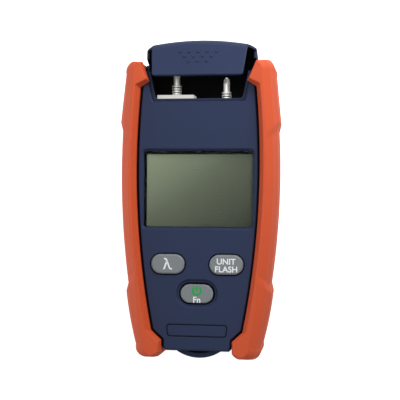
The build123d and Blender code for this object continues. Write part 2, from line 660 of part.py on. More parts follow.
def ridged_nut(x, base_y, length):
    """Chrome barrel with turned rings."""
    pitch = length / NUT_RIDGES
    bore = SLEEVE_R + PORT_SEAT
    points = [(bore, base_y), (NUT_R - NUT_RIDGE, base_y)]
    for i in range(NUT_RIDGES):
        points.append((NUT_R, base_y + pitch * (i + 0.4)))
        points.append((NUT_R - NUT_RIDGE, base_y + pitch * (i + 1)))
    points.append((bore, base_y + length))
    face = Pos(x, 0, PORT_Z) * make_face(Polyline(*points, close=True))
    return revolve(face, Axis((x, 0, PORT_Z), (0, 1, 0)))


def port_sleeve():
    """Narrow tube that takes the fibre connector's ferrule."""
    base = PANEL_Y + FLANGE_WALL
    end = base + NUT_LENGTH + SLEEVE_LENGTH
    sleeve = round_bar(SLEEVE_R, base, end, -PORT_X, PORT_Z)
    return sleeve - round_bar(FERRULE_BORE_R, end - FERRULE_BORE_DEPTH, end + 1, -PORT_X, PORT_Z)


def second_port_tip():
    """Ferrule guide of the second port, tapered at its mouth."""
    base = PANEL_Y - PANEL_WALL
    straight = PANEL_Y + SECOND_NUT_LENGTH + TIP_STRAIGHT
    tip = round_bar(SLEEVE_R, base, straight, PORT_X, PORT_Z)
    nose_plane = Plane((PORT_X, straight, PORT_Z), x_dir=(1, 0, 0), z_dir=(0, 1, 0))
    nose = loft([nose_plane * Circle(SLEEVE_R), nose_plane.offset(TIP_LENGTH) * Circle(TIP_END_R)])
    tip += nose
    end = straight + TIP_LENGTH
    return tip - round_bar(TIP_BORE_R, end - FERRULE_BORE_DEPTH, end + 1, PORT_X, PORT_Z)


def detector():
    """Photodiode can behind the flange."""
    can = round_bar(DETECTOR_R, PANEL_Y - DETECTOR_LENGTH, PANEL_Y, -PORT_X, PORT_Z)
    base = round_bar(DETECTOR_R + 0.5, PANEL_Y - DETECTOR_LENGTH - 0.6, PANEL_Y - DETECTOR_LENGTH,
                     -PORT_X, PORT_Z)
    return can + base


def screen_window():
    top = FRONT_Z - WINDOW_DEPTH
    return solid_between(window_face(WINDOW_LIP), top - WINDOW_WALL, top)


def lcd_top():
    return FRONT_Z - WINDOW_DEPTH - WINDOW_WALL - LCD_GAP


def lcd_module():
    return Pos(0, WINDOW_MID_Y, lcd_top() - LCD_WALL / 2) * Box(LCD_X, LCD_Y, LCD_WALL)


def lcd_frame():
    """Tray that holds the display on the board, with a wall above and below it."""
    top = lcd_top()
    y_low = WINDOW_MID_Y - LCD_Y / 2
    y_high = WINDOW_MID_Y + LCD_Y / 2
    half = LCD_X / 2
    frame = block(-half, half, y_low - LCD_FRAME_WALL, y_high + LCD_FRAME_WALL, BOARD_Z, top)
    frame -= block(-half - 1, half + 1, y_low, y_high, top - LCD_WALL, top + 1)
    frame -= block(LCD_SHELF - half, half - LCD_SHELF, y_low + LCD_SHELF, y_high - LCD_SHELF,
                   BOARD_Z - 1, top)
    return frame


def main_board():
    """Board shaped to the housing, with room for the screw bosses."""
    low_half = HIP_HALF - SIDE_WALL - BOARD_LOW_EDGE
    top_half = SHOULDER_HALF - SIDE_WALL - BOARD_EDGE
    mid_half = top_half + BOARD_BELLY
    points = [(-low_half, BOARD_LOW_Y), (low_half, BOARD_LOW_Y), (mid_half, 0),
              (top_half, BOARD_TOP_Y), (-top_half, BOARD_TOP_Y), (-mid_half, 0)]
    face = make_face(Polyline(*points, close=True))
    for x, y in screw_places():
        face -= Pos(x, y) * Circle(BOSS_R + 0.4)
    for x, y in board_post_places():
        face -= Pos(x, y) * Circle(BOARD_SCREW_R)
    return solid_between(face, BOARD_Z - BOARD_WALL, BOARD_Z)


def key(x, y, proud):
    """Key cap with a crowned face, a retaining flange and a stem over its dome."""
    top = FRONT_Z + proud
    inner_z = FRONT_Z - FACE_WALL
    cap = solid_between(key_face(), inner_z - KEY_FLANGE_WALL, top)
    cap = chamfer(cap.faces().sort_by(Axis.Z)[-1].edges(), KEY_CROWN)
    flange = solid_between(key_face(KEY_FLANGE), inner_z - 0.3 - KEY_FLANGE_WALL, inner_z - 0.3)
    stem_low = BOARD_Z + DOME_RISE + KEY_TRAVEL + 0.3
    stem = upright(KEY_STEM_R, 0, 0, stem_low, inner_z - 1)
    return Pos(x, y, 0) * (cap + flange + stem)


def key_domes():
    """Snap domes on the board, one under each key."""
    domes = []
    for x, y in key_places().values():
        low = Pos(x, y, BOARD_Z) * Circle(DOME_R)
        high = Pos(x, y, BOARD_Z + DOME_RISE) * Circle(DOME_R * 0.55)
        domes.append(loft([low, high]))
    return Compound(children=domes)


def battery_door():
    """Sliding door with side tongues and finger ribs, flush with the flat back."""
    low_y = FOOT_Y + 0.1
    door = block(-DOOR_HALF, DOOR_HALF, low_y, DOOR_TOP_Y, 0, DOOR_WALL)
    tongue_low = DOOR_WALL / 2 + 0.15
    door += block(-DOOR_HALF - DOOR_TONGUE, DOOR_HALF + DOOR_TONGUE, low_y, DOOR_TOP_Y,
                  tongue_low, DOOR_WALL)
    for i in range(DOOR_GRIP_RIBS):
        y = low_y + DOOR_RIB_MARGIN + DOOR_RIB_PITCH * i
        door -= block(DOOR_RIB_MARGIN - DOOR_HALF, DOOR_HALF - DOOR_RIB_MARGIN, y,
                      y + DOOR_RIB_WIDTH, -1, DOOR_RIB_DEPTH)
    return door


def battery_cells():
    bay = battery_bay()
    cells = []
    z = bay["z_low"] + BAY_SLACK + CELL_R
    for side in (-1, 1):
        x = side * (CELL_R + CELL_GAP / 2)
        y_low = bay["y_low"] + BAY_END_GAP
        cell = round_bar(CELL_R, y_low, y_low + CELL_LENGTH - CELL_NIPPLE, x, z)
        cell += round_bar(CELL_NIPPLE_R, y_low, y_low + CELL_LENGTH, x, z)
        cells.append(cell if side > 0 else cell.rotate(
            Axis((x, (bay["y_low"] + bay["y_high"]) / 2, z), (0, 0, 1)), 180))
    return Compound(children=cells)


def battery_contacts():
    """Two sprung contacts and the bridge plate at the other end."""
    bay = battery_bay()
    z = bay["z_low"] + BAY_SLACK + CELL_R
    contacts = []
    for side in (-1, 1):
        x = side * (CELL_R + CELL_GAP / 2)
        plate = block(x - CONTACT_HALF, x + CONTACT_HALF, bay["y_high"] - CONTACT_WALL,
                      bay["y_high"], z - CONTACT_HALF, z + CONTACT_HALF)
        tab = round_bar(CONTACT_TAB_R, bay["y_high"] - BAY_END_GAP, bay["y_high"] - 0.1, x, z)
        contacts.append(plate + tab)
    bridge = block(-BRIDGE_HALF, BRIDGE_HALF, bay["y_low"], bay["y_low"] + CONTACT_WALL,
                   z - CONTACT_HALF, z + CONTACT_HALF)
    for side in (-1, 1):
        x = side * (CELL_R + CELL_GAP / 2)
        bridge += round_bar(CONTACT_TAB_R, bay["y_low"] + 0.1, bay["y_low"] + BAY_END_GAP, x, z)
    contacts.append(bridge)
    return Compound(children=contacts)


def housing_screws():
    screws = []
    for x, y in screw_places():
        head = upright(SCREW_HEAD_R, x, y, 1.2, 1.2 + SCREW_HEAD)
        shank = upright(SCREW_R - 0.05, x, y, 1.2 + SCREW_HEAD - 0.1, FRONT_Z - FACE_WALL - 2)
        screws.append(head + shank)
    return Compound(children=screws)


def board_screws():
    screws = []
    low = BOARD_Z - BOARD_WALL
    for x, y in board_post_places():
        head = upright(BOARD_SCREW_R * 2, x, y, low - BOARD_SCREW_HEAD, low)
        shank = upright(BOARD_SCREW_R - PORT_SEAT, x, y, low - 0.1, FRONT_Z - FACE_WALL - 1.5)
        screws.append(head + shank)
    return Compound(children=screws)


def flange_screws():
    screws = []
    y_high = PANEL_Y + FLANGE_WALL
    for x in flange_screw_xs():
        head = round_bar(FLANGE_SCREW_R * 2 - 0.1, y_high - 1.0, y_high - 0.1, x, PORT_Z)
        shank = round_bar(FLANGE_SCREW_R - PORT_SEAT, PANEL_Y - PANEL_WALL, y_high - 0.9, x, PORT_Z)
        screws.append(head + shank)
    return Compound(children=screws)


right_grip = side_grip()
export(front_cover(), "front_cover")
export(rear_cover(), "rear_cover")
export(right_grip, "grip_right")
export(mirrored(right_grip), "grip_left")
export(raised(lid_closed()), "port_lid")
export(lid_pin(-1), "lid_pin_left")
export(lid_pin(1), "lid_pin_right")
export(port_panel(), "port_panel")
export(adapter_flange(), "adapter_flange")
export(ridged_nut(-PORT_X, PANEL_Y + FLANGE_WALL, NUT_LENGTH), "adapter_nut")
export(port_sleeve(), "port_sleeve")
export(detector(), "detector")
export(ridged_nut(PORT_X, PANEL_Y, SECOND_NUT_LENGTH), "second_port_nut")
export(second_port_tip(), "second_port_tip")
export(screen_window(), "screen_window")
export(lcd_module(), "lcd_module")
export(lcd_frame(), "lcd_frame")
export(main_board(), "main_board")
for key_name, (key_x, key_y) in key_places().items():
    export(key(key_x, key_y, KEY_PROUD if key_y == KEY_SIDE_Y else KEY_PROUD - DISH_DEPTH), key_name)
export(key_domes(), "key_domes")
export(battery_door(), "battery_door")
export(battery_cells(), "battery_cells")
export(battery_contacts(), "battery_contacts")
export(housing_screws(), "housing_screws")
export(board_screws(), "board_screws")
export(flange_screws(), "flange_screws")
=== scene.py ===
import json
import math

import bmesh
import bpy
from mathutils import Matrix, Vector


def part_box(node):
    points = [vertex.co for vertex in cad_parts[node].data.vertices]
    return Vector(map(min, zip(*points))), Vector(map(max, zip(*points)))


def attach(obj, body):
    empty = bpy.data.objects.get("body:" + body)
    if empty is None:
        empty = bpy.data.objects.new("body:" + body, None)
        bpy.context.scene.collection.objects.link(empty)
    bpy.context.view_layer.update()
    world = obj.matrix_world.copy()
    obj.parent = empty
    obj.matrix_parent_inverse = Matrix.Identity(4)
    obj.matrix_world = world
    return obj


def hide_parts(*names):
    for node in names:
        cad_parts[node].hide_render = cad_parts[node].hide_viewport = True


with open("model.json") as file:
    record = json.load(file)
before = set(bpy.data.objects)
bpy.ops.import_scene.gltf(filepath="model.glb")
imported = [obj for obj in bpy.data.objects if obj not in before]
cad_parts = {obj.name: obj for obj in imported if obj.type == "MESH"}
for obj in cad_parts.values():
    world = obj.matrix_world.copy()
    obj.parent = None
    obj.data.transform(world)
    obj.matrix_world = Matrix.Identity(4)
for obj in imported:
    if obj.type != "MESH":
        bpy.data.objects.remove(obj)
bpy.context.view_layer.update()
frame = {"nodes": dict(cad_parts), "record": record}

MM = 0.001
WELD = 0.002 * MM         # corners nearer than this are joined

# Places shared with the model, in millimetres
FRONT_Z = 30.0
KEY_SIDE_X = 14.05
KEY_SIDE_Y = -30.6
KEY_SIDE_TOP = FRONT_Z + 0.9
KEY_POWER_Y = -44.5
KEY_POWER_TOP = FRONT_Z + 0.1
LID_PIVOT = Vector((0, 64.2, 8.0))
LID_REST = math.radians(25.3)
LID_HOLLOW = Vector((0, 66.0, 20.0))   # a point inside the lid at rest; the faces turned towards it are black, as painted shade

# Rounded edges of the lid and the keys
EDGE_ANGLE = math.radians(28)     # edges sharper than this are rounded
FLAT_ANGLE = math.radians(0.05)   # faces nearer to one plane than this are joined
LID_EDGE = 0.4
LID_EDGE_STEPS = 2
KEY_EDGE = 0.35
KEY_EDGE_STEPS = 3
KEY_WALL_SEEN = 0.15      # how far down the gap round a key its grey wall shows; below that the wall is black, as painted shadow in the gap

# Raised dots on the lid, in the plane of its face with the lid shut
BUMP_ROWS = (5, 4, 3)
BUMP_MID_X = -0.3
BUMP_TOP_Y = 60.9
BUMP_PITCH_X = 4.33
BUMP_PITCH_Y = 2.65
BUMP_R = 0.75
BUMP_RISE = 0.45
BUMP_AROUND = 20
BUMP_UP = 12

# Black surround on the display: a gasket and painted shadow of the window's recess wall
GASKET_SHADOW_TOP = 2.9
GASKET_SHADOW_LEFT = 1.55
GASKET_SHADOW_RIGHT = 0.6
GASKET_SHADOW_LOW = 1.45
GASKET_SHADOW_WALL = 0.15
GASKET_SHADOW_LIFT = 0.05

# Ports
NUT_RINGS = 4
NUT_STEPS = 40            # sides of a ring
NUT_VALLEY = 0.55         # how deep the turned rings are
# One ring, as shares of its pitch and depths below its crest
NUT_RING = ((0.22, NUT_VALLEY), (0.3, 0.05), (0.6, 0.0), (0.92, 0.05), (1.0, NUT_VALLEY))
NUT_WALL = 0.3            # metal between the valleys and the bore
NUT_SHADE_REACH = 0.1            # how far up from the valleys the darker metal of painted shade reaches
FLANGE_HALF_HEIGHT = 4.4
FLANGE_END = 2.0          # stretch at the right end that is squared up
FLANGE_BACK = 1.0         # corners this near to the panel are on the back face
FERRULE_R = 0.62
FERRULE_OUT = 0.8
FERRULE_LENGTH = 2.8
FERRULE_SIDES = 24
FERRULE_EDGE = 0.2
FERRULE_EDGE_STEPS = 3

# Black crosses on the heads of the back screws: painted shade standing for their cross recesses
CROSS_R = 1.35
CROSS_HALF = 0.34
CROSS_DROP = 0.02         # how far it stands off the head's face
SCREW_FLAT = 0.01         # corners this near to the lowest one are on the head's face
SCREW_REACH = 6.0         # corners this near to each other are on one head

# Legends on the keys
INK_RISE = 0.03
INK_WEIGHT = 0.09         # how far the strokes are thickened
CAPITAL_SHARE = 0.73      # a capital's height as a share of the type size
LAMBDA_HEIGHT = 5.2
LAMBDA_Y = 0.15
WORD_HEIGHT = 2.85
UNIT_Y = 1.55
FLASH_Y = -2.1
FN_Y = -2.9
FN_HEIGHT = 2.9
POWER_Y = 1.3
POWER_R = 1.95
POWER_STROKE = 1.05
POWER_GAP = math.radians(34)   # half of the opening at the top
POWER_STEPS = 40
POWER_BAR_LOW = 0.2       # the bar's lower end above the ring's centre

# Name, text, height, place of the middle on the key's face and the body that it rides on
LEGENDS = (
    ("legend_wavelength", "\u03bb", LAMBDA_HEIGHT,
     (-KEY_SIDE_X, KEY_SIDE_Y + LAMBDA_Y, KEY_SIDE_TOP), "wavelength_key"),
    ("legend_unit", "UNIT", WORD_HEIGHT,
     (KEY_SIDE_X, KEY_SIDE_Y + UNIT_Y, KEY_SIDE_TOP), "unit_key"),
    ("legend_flash", "FLASH", WORD_HEIGHT,
     (KEY_SIDE_X, KEY_SIDE_Y + FLASH_Y, KEY_SIDE_TOP), "unit_key"),
    ("legend_function", "Fn", FN_HEIGHT,
     (0, KEY_POWER_Y + FN_Y, KEY_POWER_TOP), "power_key"),
)

# Colours as a camera shows them, 0 to 255
NAVY = (44, 54, 82)
ORANGE = (208, 81, 39)
KEY_GREY = (124, 130, 134)
BLACK = (9, 9, 11)
WHITE = (238, 236, 230)
CHROME = (250, 250, 246)
# Darker metal in the valleys of the nuts' rings, as painted shade
GROOVE_SHADE = (90, 90, 88)
ZINC = (190, 190, 186)
BOARD_GREEN = (30, 95, 60)
CELL_SLEEVE = (60, 62, 66)
INK_WHITE = (240, 242, 244)
INK_GREEN = (38, 160, 72)
# Display tones of its painted reflection, from the light upper left to the dark lower right
LCD_LIGHT = (132, 140, 117)
LCD_MIDDLE = (87, 93, 78)
LCD_DARK = (30, 32, 26)

# The display's change of tone, a painted reflection: its direction, shift, steepness and where its
# middle tone lies
LCD_TURN = math.radians(52)
LCD_SHIFT = 0.5
LCD_SCALE = 15
LCD_MIDDLE_AT = 0.4

# Clear window, as linear values
WINDOW_TINT = (0.95, 0.97, 0.95, 1)
WINDOW_IOR = 1.1          # below that of real glass, for weak reflections

# Painted shade in gaps and grooves: how dark it gets, by the share of the sky that they see
CREVICE_FULL = 0.4
CREVICE_NONE = 0.9
CREVICE_TONE = 0.1
CREVICE_SAMPLES = 8

# Grain in the moulded parts
GRAIN_STRENGTH = 0.5
GRAIN_DETAIL = 3
WAVE_SCALE = 60
WAVE_DETAIL = 2
WAVE_SHARE = 0.12         # how much of the height is slow waviness
EDGE_SAMPLES = 6

# Turning marks in the metals
MARK_SCALE = 3000
MARK_SPREAD = 0.3         # how far the roughness goes up and down, as a share

# Camera, fitted to the photograph: a long lens a little to the right of the meter
CAMERA_LENS = 90
CAMERA_SENSOR = 36
CAMERA_NEAR = 0.01
CAMERA_DISTANCE = 475 * MM
CAMERA_YAW = math.radians(8.6)
CAMERA_ROLL = math.radians(-0.415)
CAMERA_TARGET = Vector((1.206, 0.0, FRONT_Z)) * MM

# Surroundings: how bright they are as light, and as the camera and shiny things see them
WORLD_LIGHT = 0.34
WORLD_SEEN = 1.0
FLOOR_HALF = 3.0          # in metres
FLOOR_DROP = 0.2 * MM
FLOOR_TONE = 0.86
FLOOR_GLOW = 0.8

# Soft boxes: name, place, target, size and power, in metres and watts
LAMPS = (
    ("key_light", (0.18, 0.3, 0.22), (0, 0.05, 0), 0.14, 1.2),
    ("fill_light", (-0.05, 0.2, 0.8), (0, 0.04, 0), 0.5, 1.15),
    ("left_light", (-0.3, 0.0, 0.08), (0, 0.0, 0.015), 0.2, 0.3),
)


def colour(rgb):
    """A display colour as the linear values that a shader takes."""
    linear = []
    for value in rgb:
        share = value / 255
        linear.append(share / 12.92 if share <= 0.04045 else ((share + 0.055) / 1.055) ** 2.4)
    return (*linear, 1.0)


def show(thing):
    """Put an object into the scene."""
    bpy.context.scene.collection.objects.link(thing)


def math_node(nodes, operation):
    """A node that works out one sum."""
    node = nodes.new("ShaderNodeMath")
    node.operation = operation
    return node


def range_node(nodes, to_min, to_max, from_min=0.0, from_max=1.0):
    """A node that maps one range of values to another."""
    node = nodes.new("ShaderNodeMapRange")
    node.inputs["From Min"].default_value = from_min
    node.inputs["From Max"].default_value = from_max
    node.inputs["To Min"].default_value = to_min
    node.inputs["To Max"].default_value = to_max
    return node


def plain_material(name):
    """A new material, with its nodes, its links and its shader."""
    material = bpy.data.materials.new(name)
    material.use_nodes = True
    nodes = material.node_tree.nodes
    return material, nodes, material.node_tree.links, nodes["Principled BSDF"]


def add_camera():
    """Camera above the meter, turned to the right and rolled as the photograph shows."""
    back = Vector((math.sin(CAMERA_YAW), 0, math.cos(CAMERA_YAW)))
    right = Vector((0, 1, 0)).cross(back).normalized()
    up = back.cross(right)
    turned_right = right * math.cos(CAMERA_ROLL) - up * math.sin(CAMERA_ROLL)
    turned_up = right * math.sin(CAMERA_ROLL) + up * math.cos(CAMERA_ROLL)
    place = CAMERA_TARGET + back * CAMERA_DISTANCE
    data = bpy.data.cameras.new("camera")
    data.lens = CAMERA_LENS
    data.sensor_width = CAMERA_SENSOR
    data.clip_start = CAMERA_NEAR
    camera = bpy.data.objects.new("camera", data)
    matrix = Matrix.Identity(4)
    for row in range(3):
        matrix[row][0] = turned_right[row]
        matrix[row][1] = turned_up[row]
        matrix[row][2] = back[row]
        matrix[row][3] = place[row]
    camera.matrix_world = matrix
    show(camera)
    bpy.context.scene.camera = camera


def add_lamp(name, place, target, size, power):
    """A square soft box aimed at a point."""
    data = bpy.data.lights.new(name, "AREA")
    data.size = size
    data.energy = power
    lamp = bpy.data.objects.new(name, data)
    lamp.location = place
    lamp.rotation_euler = (Vector(target) - Vector(place)).to_track_quat("-Z", "Y").to_euler()
    show(lamp)


def add_world():
    """Plain pale surroundings, white to the camera, through the window and in reflections."""
    world = bpy.data.worlds.new("surroundings")
    bpy.context.scene.world = world
    world.use_nodes = True
    nodes = world.node_tree.nodes
    links = world.node_tree.links
    path = nodes.new("ShaderNodeLightPath")
    clear = math_node(nodes, "MAXIMUM")
    links.new(path.outputs["Is Camera Ray"], clear.inputs[0])
    links.new(path.outputs["Is Transmission Ray"], clear.inputs[1])
    sight = math_node(nodes, "MAXIMUM")
    links.new(clear.outputs[0], sight.inputs[0])
    links.new(path.outputs["Is Glossy Ray"], sight.inputs[1])
    strength = range_node(nodes, WORLD_LIGHT, WORLD_SEEN)
    links.new(sight.outputs[0], strength.inputs["Value"])
    background = nodes["Background"]
    background.inputs["Color"].default_value = (1, 1, 1, 1)
    links.new(strength.outputs["Result"], background.inputs["Strength"])


def add_floor():
    """Plain white surface that keeps the meter's shadow."""
    mesh = bpy.data.meshes.new("floor")
    shape = bmesh.new()
    bmesh.ops.create_grid(shape, x_segments=1, y_segments=1, size=FLOOR_HALF)
    bmesh.ops.translate(shape, verts=shape.verts, vec=(0, 0, -FLOOR_DROP))
    shape.to_mesh(mesh)
    shape.free()
    floor = bpy.data.objects.new("floor", mesh)
    show(floor)
    material, nodes, links, _ = plain_material("floor_white")
    nodes.clear()
    out = nodes.new("ShaderNodeOutputMaterial")
    matt = nodes.new("ShaderNodeBsdfDiffuse")
    matt.inputs["Color"].default_value = (FLOOR_TONE, FLOOR_TONE, FLOOR_TONE, 1)
    glow = nodes.new("ShaderNodeEmission")
    path = nodes.new("ShaderNodeLightPath")
    lift = math_node(nodes, "MULTIPLY")
    lift.inputs[1].default_value = FLOOR_GLOW
    both = nodes.new("ShaderNodeAddShader")
    links.new(path.outputs["Is Camera Ray"], lift.inputs[0])
    links.new(lift.outputs[0], glow.inputs["Strength"])
    links.new(matt.outputs[0], both.inputs[0])
    links.new(glow.outputs[0], both.inputs[1])
    links.new(both.outputs[0], out.inputs["Surface"])
    mesh.materials.append(material)


def grain_group():
    """Moulded grain: fine pits and slow waviness as a height, and the waviness alone as a drift."""
    group = bpy.data.node_groups.new("moulded_grain", "ShaderNodeTree")
    face = group.interface
    face.new_socket("Scale", in_out="INPUT", socket_type="NodeSocketFloat")
    face.new_socket("Height", in_out="OUTPUT", socket_type="NodeSocketFloat")
    face.new_socket("Drift", in_out="OUTPUT", socket_type="NodeSocketFloat")
    nodes = group.nodes
    links = group.links
    source = nodes.new("NodeGroupInput")
    sink = nodes.new("NodeGroupOutput")
    place = nodes.new("ShaderNodeTexCoord")
    fine = nodes.new("ShaderNodeTexNoise")
    fine.inputs["Detail"].default_value = GRAIN_DETAIL
    links.new(place.outputs["Object"], fine.inputs["Vector"])
    links.new(source.outputs["Scale"], fine.inputs["Scale"])
    slow = nodes.new("ShaderNodeTexNoise")
    slow.inputs["Scale"].default_value = WAVE_SCALE
    slow.inputs["Detail"].default_value = WAVE_DETAIL
    links.new(place.outputs["Object"], slow.inputs["Vector"])
    blend = nodes.new("ShaderNodeMix")
    blend.data_type = "FLOAT"
    blend.inputs["Factor"].default_value = WAVE_SHARE
    links.new(fine.outputs["Fac"], blend.inputs["A"])
    links.new(slow.outputs["Fac"], blend.inputs["B"])
    links.new(blend.outputs["Result"], sink.inputs["Height"])
    links.new(slow.outputs["Fac"], sink.inputs["Drift"])
    return group


def moulded(name, rgb, roughness, grain_scale, grain_depth, drift=0.06, specular=0.3, edge=0.0,
            glow=0.0, crevice=0.0):
    """Moulded plastic or rubber with grain in its normal, soft edges and a slight drift of tone.

    The glow is painted light: an emission that keeps a white plastic bright in the shade it lies
    in. The crevice is how far painted shade reaches into gaps and grooves.
    """
    material, nodes, links, shader = plain_material(name)
    shader.inputs["Roughness"].default_value = roughness
    shader.inputs["Specular IOR Level"].default_value = specular
    # Painted light: a glow that lifts the part out of the shade it lies in
    if glow > 0:
        shader.inputs["Emission Color"].default_value = colour(rgb)
        shader.inputs["Emission Strength"].default_value = glow
    grain = nodes.new("ShaderNodeGroup")
    grain.node_tree = GRAIN
    grain.inputs["Scale"].default_value = grain_scale
    tone = range_node(nodes, 1 - drift, 1 + drift)
    links.new(grain.outputs["Drift"], tone.inputs["Value"])
    tint = nodes.new("ShaderNodeHueSaturation")
    tint.inputs["Color"].default_value = colour(rgb)
    links.new(tone.outputs["Result"], tint.inputs["Value"])
    # Painted shade: the base colour is darkened in gaps and grooves, by how little of the sky they
    # see
    if crevice > 0:
        near = nodes.new("ShaderNodeAmbientOcclusion")
        near.samples = CREVICE_SAMPLES
        near.inputs["Distance"].default_value = crevice * MM
        reach = range_node(nodes, CREVICE_TONE, 1.0, CREVICE_FULL, CREVICE_NONE)
        crevice_shade = nodes.new("ShaderNodeMix")
        crevice_shade.data_type = "RGBA"
        crevice_shade.blend_type = "MULTIPLY"
        crevice_shade.inputs["Factor"].default_value = 1.0
        links.new(near.outputs["AO"], reach.inputs["Value"])
        links.new(tint.outputs["Color"], crevice_shade.inputs["A"])
        links.new(reach.outputs["Result"], crevice_shade.inputs["B"])
        links.new(crevice_shade.outputs["Result"], shader.inputs["Base Color"])
    else:
        links.new(tint.outputs["Color"], shader.inputs["Base Color"])
    bump = nodes.new("ShaderNodeBump")
    bump.inputs["Strength"].default_value = GRAIN_STRENGTH
    bump.inputs["Distance"].default_value = grain_depth * MM
    links.new(grain.outputs["Height"], bump.inputs["Height"])
    if edge > 0:
        soft = nodes.new("ShaderNodeBevel")
        soft.samples = EDGE_SAMPLES
        soft.inputs["Radius"].default_value = edge * MM
        links.new(soft.outputs["Normal"], bump.inputs["Normal"])
    links.new(bump.outputs["Normal"], shader.inputs["Normal"])
    return material


def metal(name, rgb, roughness, metallic=1.0):
    """Turned and plated metal with faint turning marks."""
    material, nodes, links, shader = plain_material(name)
    shader.inputs["Base Color"].default_value = colour(rgb)
    shader.inputs["Metallic"].default_value = metallic
    place = nodes.new("ShaderNodeTexCoord")
    marks = nodes.new("ShaderNodeTexNoise")
    marks.inputs["Scale"].default_value = MARK_SCALE
    links.new(place.outputs["Object"], marks.inputs["Vector"])
    rough = range_node(nodes, roughness * (1 - MARK_SPREAD), roughness * (1 + MARK_SPREAD))
    links.new(marks.outputs["Fac"], rough.inputs["Value"])
    links.new(rough.outputs["Result"], shader.inputs["Roughness"])
    return material


def clear_window():
    """Clear flat window."""
    material, _, _, shader = plain_material("clear_window")
    shader.inputs["Base Color"].default_value = WINDOW_TINT
    shader.inputs["Roughness"].default_value = 0.05
    shader.inputs["Transmission Weight"].default_value = 1.0
    shader.inputs["IOR"].default_value = WINDOW_IOR
    return material


def display():
    """Blank display: grey-green, with a painted reflection that leaves it lighter at its upper left
    and darker towards its lower right corner.
    """
    material, nodes, links, shader = plain_material("display_face")
    shader.inputs["Roughness"].default_value = 0.6
    shader.inputs["Specular IOR Level"].default_value = 0.1
    place = nodes.new("ShaderNodeTexCoord")
    turn = nodes.new("ShaderNodeMapping")
    turn.inputs["Location"].default_value = (LCD_SHIFT, LCD_SHIFT, 0)
    turn.inputs["Rotation"].default_value = (0, 0, LCD_TURN)
    turn.inputs["Scale"].default_value = (LCD_SCALE, LCD_SCALE, LCD_SCALE)
    slope = nodes.new("ShaderNodeTexGradient")
    links.new(place.outputs["Object"], turn.inputs["Vector"])
    links.new(turn.outputs["Vector"], slope.inputs["Vector"])
    ramp = nodes.new("ShaderNodeValToRGB")
    ramp.color_ramp.elements[0].color = colour(LCD_LIGHT)
    ramp.color_ramp.elements[1].color = colour(LCD_DARK)
    ramp.color_ramp.elements.new(LCD_MIDDLE_AT).color = colour(LCD_MIDDLE)
    links.new(slope.outputs["Fac"], ramp.inputs["Fac"])
    links.new(ramp.outputs["Color"], shader.inputs["Base Color"])
    return material


def dress(node, material):
    """Give a carried-over node its finish."""
    thing = frame["nodes"][node]
    thing.data.materials.clear()
    thing.data.materials.append(material)


def body_of(node):
    """Name of the moving body that carries a node."""
    for body, members in frame["record"]["behaviour"]["bodies"].items():
        if node in members:
            return body
    raise ValueError(node)


def new_object(name, shape, material, body):
    """Make an object at the origin from a bmesh and let it ride on a body."""
    mesh = bpy.data.meshes.new(name)
    shape.to_mesh(mesh)
    shape.free()
    mesh.materials.append(material)
    thing = bpy.data.objects.new(name, mesh)
    show(thing)
    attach(thing, body)
    return thing


def weld(shape):
    """Join the corners of a bmesh that lie on each other."""
    bmesh.ops.remove_doubles(shape, verts=shape.verts, dist=WELD)


def welded(node):
    """A node's own mesh as a bmesh with its corners joined."""
    shape = bmesh.new()
    shape.from_mesh(frame["nodes"][node].data)
    weld(shape)
    return shape


def smooth(shape):
    """Shade every face of a bmesh smooth."""
    for face in shape.faces:
        face.smooth = True


def halfway(low, high, axis):
    """Middle of a box along one axis."""
    return (low[axis] + high[axis]) / 2


def softened(node, width, steps, material, shade_lining, well=None):
    """The node's own shape with its sharp edges rounded as moulded edges are.

    Faces below the well's edge, where the gap round a key lies in shadow, and faces inside the
    lid's hollow, which lies in shade, get the black second material as painted shade.
    """
    shape = welded(node)
    bmesh.ops.dissolve_limit(shape, angle_limit=FLAT_ANGLE, verts=shape.verts, edges=shape.edges)
    if well:
        bmesh.ops.bisect_plane(shape, geom=shape.verts[:] + shape.edges[:] + shape.faces[:],
                               plane_co=(0, 0, well * MM), plane_no=(0, 0, 1))
    # Painted shade: the faces in a key's gap or facing into the lid's hollow get the black material
    for face in shape.faces:
        middle = face.calc_center_median()
        if well:
            face.material_index = int(middle.z < well * MM)
        else:
            face.material_index = int(face.normal.dot(LID_HOLLOW * MM - middle) > 0)
    smooth(shape)
    for edge in shape.edges:
        edge.smooth = True
    thing = new_object(node + "_finish", shape, material, body_of(node))
    thing.data.materials.append(shade_lining)
    bevel = thing.modifiers.new("edges", "BEVEL")
    bevel.affect = "EDGES"
    bevel.width = width * MM
    bevel.segments = steps
    bevel.profile = 0.5
    bevel.material = -1
    bevel.limit_method = "ANGLE"
    bevel.angle_limit = EDGE_ANGLE
    bevel.use_clamp_overlap = False
    shade = thing.modifiers.new("shading", "WEIGHTED_NORMAL")
    shade.keep_sharp = False
    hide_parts(node)


def raised(shape):
    """Turn a bmesh drawn on the shut lid into the lid's place at rest."""
    pivot = LID_PIVOT * MM
    turn = Matrix.Translation(pivot) @ Matrix.Rotation(-LID_REST, 4, "X")
    turn = turn @ Matrix.Translation(-pivot)
    bmesh.ops.transform(shape, matrix=turn, verts=shape.verts)


